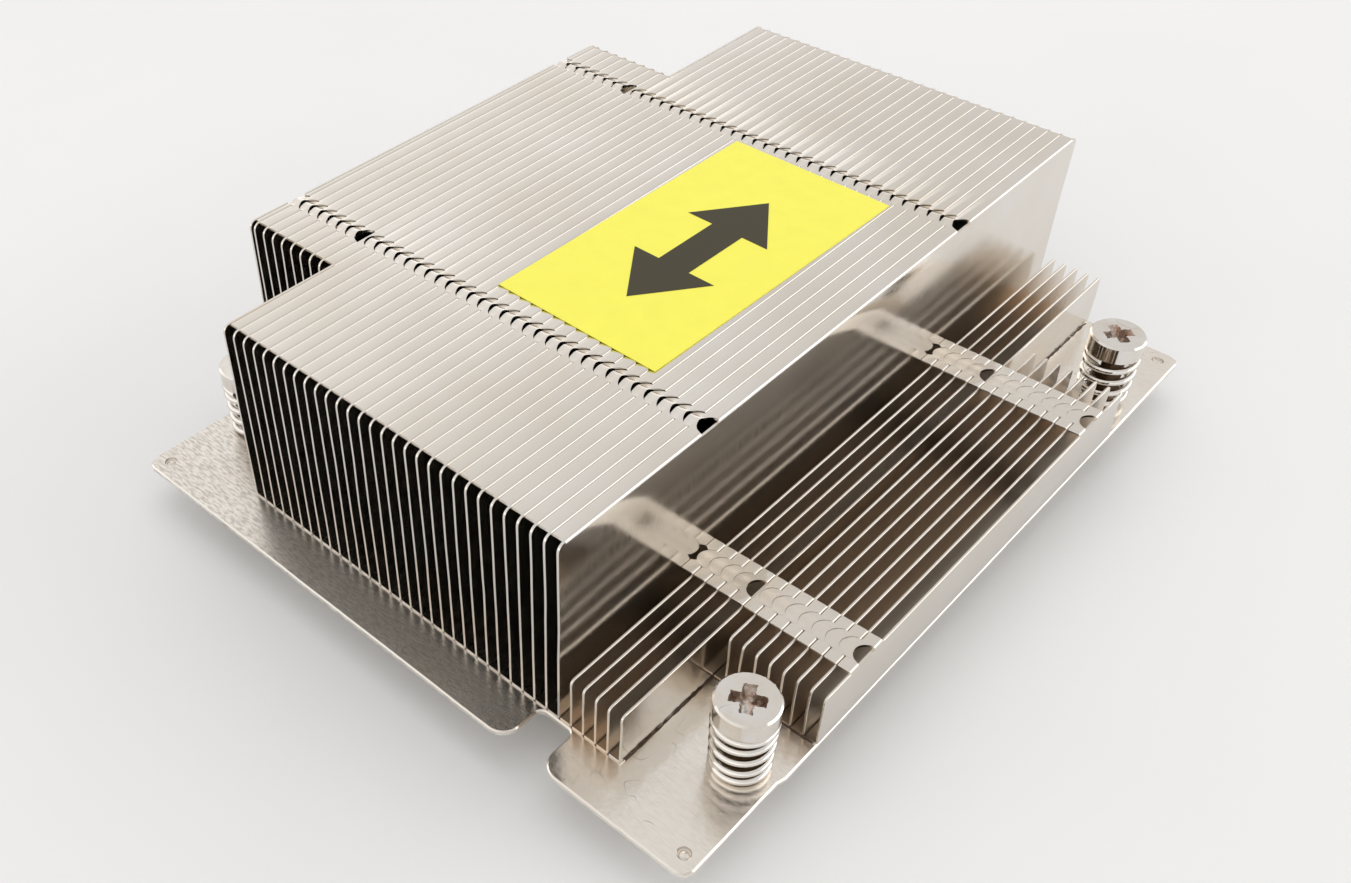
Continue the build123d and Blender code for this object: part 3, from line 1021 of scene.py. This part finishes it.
def turned(name, profile, vertices):
    """A turned solid on the Z axis: a filled circle drawn up and scaled through a profile."""
    radius, height = profile[0]
    ready()
    bpy.ops.mesh.primitive_circle_add(
        vertices=vertices, radius=radius, fill_type="NGON", location=(0, 0, height))
    piece = named(name)
    edit(piece)
    for next_radius, next_height in profile[1:]:
        draw_out(z=next_height - height)
        if not near(next_radius, radius):
            ratio = next_radius / radius
            bpy.ops.transform.resize(
                value=(ratio, ratio, 1), center_override=(0, 0, next_height))
        radius, height = next_radius, next_height
    ready()
    clean(piece)
    return piece


PUNCH_TAPER = 0.62
PUNCH_WEAR = 0.09 * MM  # Much more, and the punch crosses itself and spoils the cut


class HEATSINK_OT_screws(bpy.types.Operator):
    """Build the four captive screws with threads and worn cross recesses"""

    bl_idname = "heatsink.screws"
    bl_label = "Screws"

    def execute(self, context):
        sizes = context.scene.heatsink_screws
        finish = context.scene.heatsink_finish
        body = self.body(sizes)
        for (number, x, y), turn in zip(screw_places(), (70.0, 28.5, 12.0, 51.0)):
            piece = copy_at(body, f"captive_screw_{number}", (0, 0, 0))
            combine(piece, self.cross(sizes, number), "DIFFERENCE")
            finish_piece(
                piece, metal("plated_steel", finish), f"screw_{number}", "screw_steel",
                f"screw_{number}")
            self.scrape(piece, sizes, finish)
            turn_into_place(piece, x, y, turn)
            smooth(piece)
        remove(body)
        return {"FINISHED"}

    def scrape(self, piece, sizes, finish):
        """Give the shank inside the spring a dark painted shade between the coils, and the recess its
        bare steel.
        """
        head = SCREW_HIGH.z - sizes.head_height
        lowest = SCREW_HIGH.z - sizes.cross_depth - 0.2 * MM
        rim = sizes.rim - 0.05 * MM
        piece.data.materials.append(metal("worn_steel", finish))
        piece.data.materials.append(metal("oiled_steel", finish))
        edit(piece)
        # Painted shade: the shank inside the spring gets the dark material.
        pick(piece, lambda place: place.xy.length < sizes.shank + TINY
             and PLATE_HIGH.z < place.z < head + TINY, "FACE")
        paint_picked(piece, 2)
        pick(piece, lambda place: place.xy.length < rim and place.z > lowest, "FACE")
        paint_picked(piece, 1)
        ready()

    def body(self, sizes):
        """The turned screw with its head, groove and thread, before the recess is punched."""
        top = SCREW_HIGH.z
        head = top - sizes.head_height
        core = sizes.thread - sizes.thread_depth
        groove_low = RING_LOW.z - 0.05 * MM
        groove_high = RING_HIGH.z + 0.05 * MM
        edge = 0.12 * MM
        chamfer = 0.22 * MM
        profile = [
            (core - 0.3 * MM, SCREW_LOW.z), (core, SCREW_LOW.z + 0.4 * MM),
            (core, groove_low - 0.3 * MM), (sizes.thread, groove_low - 0.2 * MM),
            (sizes.thread, groove_low), (sizes.groove, groove_low),
            (sizes.groove, groove_high), (sizes.shank, groove_high),
            (sizes.shank, PLATE_HIGH.z + 0.05 * MM), (sizes.shank, head),
            (sizes.head - edge, head), (sizes.head, head + edge),
            (sizes.head, top - chamfer), (sizes.head - chamfer, top), (sizes.rim, top)]
        piece = turned("screw_body", profile, 64)
        combine(piece, self.thread(sizes, core, groove_low - 0.25 * MM), "UNION")
        return piece

    def thread(self, sizes, core, top):
        """One helical ridge from the screw's tip up to its groove."""
        bottom = SCREW_LOW.z + 0.25 * MM
        ready()
        bpy.ops.mesh.primitive_circle_add(
            vertices=3, radius=1, fill_type="NOTHING", location=(0, 0, 0))
        ridge = named("thread_ridge")
        root = core - 0.1 * MM
        half = sizes.thread_pitch * 0.42
        section = [(root, -half), (sizes.thread, 0), (root, half)]
        for vertex, (radius, height) in zip(ridge.data.vertices, section):
            vertex.co = (radius, 0, bottom + half + height)
        turns = (top - bottom - 2 * half) / sizes.thread_pitch
        apply_modifier(
            ridge, "SCREW", angle=math.radians(360 * turns),
            screw_offset=sizes.thread_pitch * turns, steps=int(32 * turns),
            render_steps=int(32 * turns), use_normal_calculate=True)
        edit(ridge)
        bpy.ops.mesh.select_mode(type="EDGE")
        bpy.ops.mesh.select_all(action="DESELECT")
        bpy.ops.mesh.select_non_manifold()
        bpy.ops.mesh.edge_face_add()
        ready()
        clean(ridge)
        return ridge

    def cross(self, sizes, seed):
        """The punch for a worn cross recess: four tapering arms with ragged walls."""
        half = sizes.cross_width / 2
        arm = sizes.cross / 2 - half
        rise = 0.3 * MM
        top = SCREW_HIGH.z + rise
        ready()
        bpy.ops.mesh.primitive_plane_add(size=sizes.cross_width, location=(0, 0, top))
        tool = named("cross_tool")
        edit(tool)
        for axis, side in (("x", 1), ("x", -1), ("y", 1), ("y", -1)):
            pick(tool, lambda place: near(getattr(place, axis), side * half)
                 and abs(place.x) < half + TINY and abs(place.y) < half + TINY)
            draw_out(**{axis: side * arm})
        select_whole()
        draw_out(z=-sizes.cross_depth - rise)
        bpy.ops.transform.resize(
            value=(PUNCH_TAPER, PUNCH_TAPER, 1), center_override=(0, 0, top))
        select_whole()
        bpy.ops.mesh.normals_make_consistent(inside=False)
        bpy.ops.mesh.subdivide(number_cuts=3)
        bpy.ops.transform.vertex_random(
            offset=PUNCH_WEAR, uniform=1.0, normal=0.0, seed=seed)
        ready()
        return tool


COIL_POINTS_PER_TURN = 20


class HEATSINK_OT_springs(bpy.types.Operator):
    """Build the four springs, wound with closed ends"""

    bl_idname = "heatsink.springs"
    bl_label = "Springs"

    def execute(self, context):
        sizes = context.scene.heatsink_screws
        material = metal("spring_wire", context.scene.heatsink_finish)
        spring = self.coil(sizes)
        for (number, x, y), turn in zip(screw_places(), (70.0, 200.0, 12.0, 51.0)):
            piece = copy_at(spring, f"coil_spring_{number}", (0, 0, 0))
            turn_into_place(piece, x, y, turn)
            smooth(piece, 50)
            finish_piece(piece, material, "heatsink", "spring_steel", f"spring_{number}")
            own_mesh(piece)
        remove(spring)
        return {"FINISHED"}

    def coil(self, sizes):
        """A compression spring on the Z axis, its end turns closed down on themselves."""
        bottom = PLATE_HIGH.z + sizes.wire / 2 + 0.02 * MM
        top = SCREW_HIGH.z - sizes.head_height - sizes.wire / 2 - 0.02 * MM
        closed = 0.85
        active = 2.9
        end_rise = sizes.wire * 1.02
        total = 2 * closed + active
        ready()
        bpy.ops.curve.primitive_nurbs_path_add(location=(0, 0, 0))
        curve = bpy.context.object
        curve.name = "spring_wire"
        spline = curve.data.splines[0]
        count = int(total * COIL_POINTS_PER_TURN)
        spline.points.add(count + 1 - len(spline.points))
        for index, point in enumerate(spline.points):
            turn = total * index / count
            if turn < closed:
                height = bottom + end_rise * closed * (turn / closed) ** 1.6
            elif turn > total - closed:
                height = top - end_rise * closed * ((total - turn) / closed) ** 1.6
            else:
                share = (turn - closed) / active
                low = bottom + end_rise * closed
                high = top - end_rise * closed
                height = low + (high - low) * share
            share = (height - bottom) / (top - bottom)
            radius = sizes.coil_foot + (sizes.coil - sizes.coil_foot) * share - sizes.wire / 2
            angle = 2 * math.pi * turn
            point.co = (radius * math.cos(angle), radius * math.sin(angle), height, 1)
        spline.order_u = 4
        spline.use_endpoint_u = True
        curve.data.dimensions = "3D"
        curve.data.resolution_u = 2
        curve.data.bevel_depth = sizes.wire / 2
        curve.data.bevel_resolution = 3
        curve.data.use_fill_caps = True
        focus(curve)
        bpy.ops.object.convert(target="MESH")
        piece = named("spring_wire")
        clean(piece)
        return piece


def dress(node, material):
    """Give a CAD node that stays in sight its material."""
    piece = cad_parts[node]
    piece.data.materials.clear()
    piece.data.materials.append(material)


class HEATSINK_OT_label(bpy.types.Operator):
    """Finish the yellow airflow label and its printed arrow"""

    bl_idname = "heatsink.label"
    bl_label = "Label"

    def execute(self, context):
        finish = context.scene.heatsink_finish
        dress("airflow_label", film("yellow_film", finish.label, 0.5, 3000, 0.3))
        dress("airflow_arrow", film("dark_print", finish.ink, 0.55, 3000, 0.3))
        return {"FINISHED"}


class HEATSINK_OT_rings(bpy.types.Operator):
    """Finish the retaining rings in the screws' grooves"""

    bl_idname = "heatsink.rings"
    bl_label = "Retaining rings"

    def execute(self, context):
        material = metal("plated_steel", context.scene.heatsink_finish)
        for number in range(1, SCREW_COUNT + 1):
            dress(f"retaining_ring_{number}", material)
        return {"FINISHED"}


class HEATSINK_OT_stage(bpy.types.Operator):
    """Lay the floor, hang the lamp and set up the camera"""

    bl_idname = "heatsink.stage"
    bl_label = "Stage"

    def execute(self, context):
        finish = context.scene.heatsink_finish
        ready()
        bpy.ops.mesh.primitive_circle_add(
            vertices=96, radius=2.5, fill_type="NGON", location=(0, 0, SCREW_LOW.z))
        floor = named("floor")
        floor.data.materials.append(film("floor_paint", finish.floor, 0.9, 60, 0.0))
        self.sky(context.scene)
        self.lamp()
        self.camera(context.scene)
        context.scene.view_settings.view_transform = "Standard"
        return {"FINISHED"}

    def lamp(self):
        """A large soft lamp overhead that faces the heatsink and isn't mirrored in it."""
        ready()
        place = Vector((-0.12, 0.15, 0.97)).normalized()
        bpy.ops.object.light_add(
            type="AREA", location=place, rotation=place.to_track_quat("Z", "Y").to_euler())
        lamp = bpy.context.object
        lamp.name = "key_lamp"
        lamp.data.shape = "DISK"
        lamp.data.size = 0.9
        lamp.data.energy = 1.4
        lamp.visible_glossy = False

    def sky(self, scene):
        """A pale surround: bright low down in front, and a glow behind that the bends mirror."""
        world = bpy.data.worlds.new("pale_surround")
        scene.world = world
        world.use_nodes = True
        tree = world.node_tree
        place = add(tree, "ShaderNodeTexCoord").outputs["Generated"]
        front, glow = (
            add(tree, "ShaderNodeVectorMath", {0: place, 1: Vector(direction)},
                operation="DOT_PRODUCT").outputs["Value"]
            for direction in ((-0.8, -0.6, 0.0), (0.796, 0.597, 0.1)))
        horizon = ranged(tree, front, (-0.2, 0.4), (0.8, 1.12))
        rise = add(tree, "ShaderNodeSeparateXYZ", {"Vector": place}).outputs["Z"]
        height = ranged(tree, rise, (0.4, 1.0), (horizon, 0.78))
        low = ranged(tree, rise, (0.12, 0.36), (0.45, 0.0))
        light = worked_out(tree, "ADD", worked_out(tree, "ADD", height, low), ranged(
            tree, glow, (0.79, 0.86), (0.0, 1.2)))
        back = tree.nodes["Background"]
        tree.links.new(light, back.inputs["Strength"])
        back.inputs["Color"].default_value = (1.0, 0.99, 0.98, 1)

    def camera(self, scene):
        """The camera, where the photograph was taken from."""
        ready()
        bpy.ops.object.camera_add(
            location=(0.08416, -0.11572, 0.12474),
            rotation=[math.radians(turn) for turn in (48.0545, 1.2513, 43.4851)])
        camera = bpy.context.object
        camera.name = "view_camera"
        camera.data.lens = 36.863
        camera.data.sensor_width = 36.0
        camera.data.shift_x = 0.1141
        camera.data.shift_y = 0.0049
        camera.data.clip_start = 0.005
        camera.data.clip_end = 20.0
        scene.camera = camera


class HEATSINK_PT_panel(bpy.types.Panel):
    """Sizes, colours and the operators that build each group of pieces"""

    bl_idname = "HEATSINK_PT_panel"
    bl_label = "Server Heatsink"
    bl_space_type = "VIEW_3D"
    bl_region_type = "UI"
    bl_category = "Heatsink"

    def draw(self, context):
        for name, group in GROUPS.items():
            box = self.layout.box()
            for field in group.__annotations__:
                box.prop(getattr(context.scene, name), field)
        for operator in OPERATORS:
            self.layout.operator(operator.bl_idname)


OPERATORS = (
    HEATSINK_OT_main_fins,
    HEATSINK_OT_left_fins,
    HEATSINK_OT_low_fins,
    HEATSINK_OT_base_plate,
    HEATSINK_OT_screws,
    HEATSINK_OT_springs,
    HEATSINK_OT_rings,
    HEATSINK_OT_label,
    HEATSINK_OT_stage,
)
CLASSES = (HeatsinkFinSizes, HeatsinkScrewSizes, HeatsinkFinish) + OPERATORS + (HEATSINK_PT_panel,)


GROUPS = {
    "heatsink_fins": HeatsinkFinSizes,
    "heatsink_screws": HeatsinkScrewSizes,
    "heatsink_finish": HeatsinkFinish,
}


def register():
    for item in CLASSES:
        bpy.utils.register_class(item)
    for name, group in GROUPS.items():
        setattr(bpy.types.Scene, name, bpy.props.PointerProperty(type=group))


def unregister():
    for name in GROUPS:
        delattr(bpy.types.Scene, name)
    for item in reversed(CLASSES):
        bpy.utils.unregister_class(item)


def main():
    """Register the add-on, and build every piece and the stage."""
    register()
    bpy.ops.heatsink.main_fins()
    bpy.ops.heatsink.left_fins()
    bpy.ops.heatsink.low_fins()
    bpy.ops.heatsink.base_plate()
    bpy.ops.heatsink.screws()
    bpy.ops.heatsink.springs()
    bpy.ops.heatsink.rings()
    bpy.ops.heatsink.label()
    bpy.ops.heatsink.stage()


if __name__ == "__main__":
    main()
